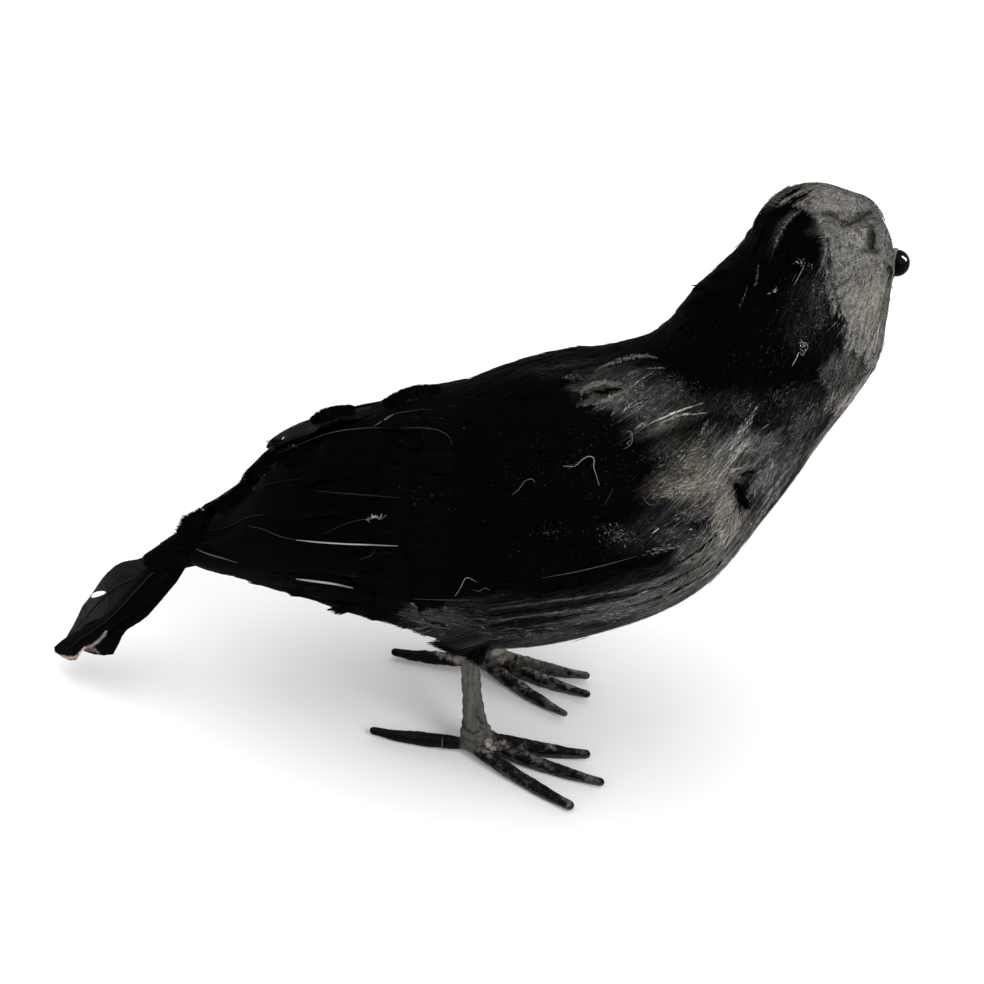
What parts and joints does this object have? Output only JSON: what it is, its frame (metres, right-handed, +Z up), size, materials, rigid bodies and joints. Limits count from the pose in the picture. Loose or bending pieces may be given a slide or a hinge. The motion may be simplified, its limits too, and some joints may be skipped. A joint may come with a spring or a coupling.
{
  "type": "crow figurine",
  "caption": "Standing life-like crow figure with black plumage, folded wings, a drooping tail, head turned to its left, bead eyes and grey bound legs with spread toes.",
  "frame": {"origin": "on the ground, under the middle of the figure's bounding box", "axes": "+X the way the body faces, +Y to the bird's left, +Z up"},
  "size_m": [0.2602, 0.1038, 0.1881],
  "materials": {
    "plumage": "dyed black feathers, matt, with a grey-brown sheen on the head, breast and belly where light grazes them",
    "long_feathers": "dyed black flight feathers, smooth with a soft gloss",
    "bill": "black, low gloss",
    "eyes": "polished black bead",
    "legs": "paper tape wound on wire, painted grey and black, worn pale in places"
  },
  "bodies": {
    "root": {"body": "plumage", "bill": "bill", "eye_right": "eyes", "eye_left": "eyes", "right_wing_outer_primary": "long_feathers", "right_wing_primary": "long_feathers", "right_wing_inner_primary": "long_feathers", "right_wing_secondary": "long_feathers", "right_wing_tertial": "long_feathers", "left_wing_outer_primary": "long_feathers", "left_wing_primary": "long_feathers", "left_wing_inner_primary": "long_feathers", "left_wing_secondary": "long_feathers", "left_wing_tertial": "long_feathers", "tail_feather_right": "long_feathers", "tail_feather_middle": "long_feathers", "tail_feather_left": "long_feathers", "leg_right": "legs", "leg_left": "legs"}
  },
  "joints": []
}
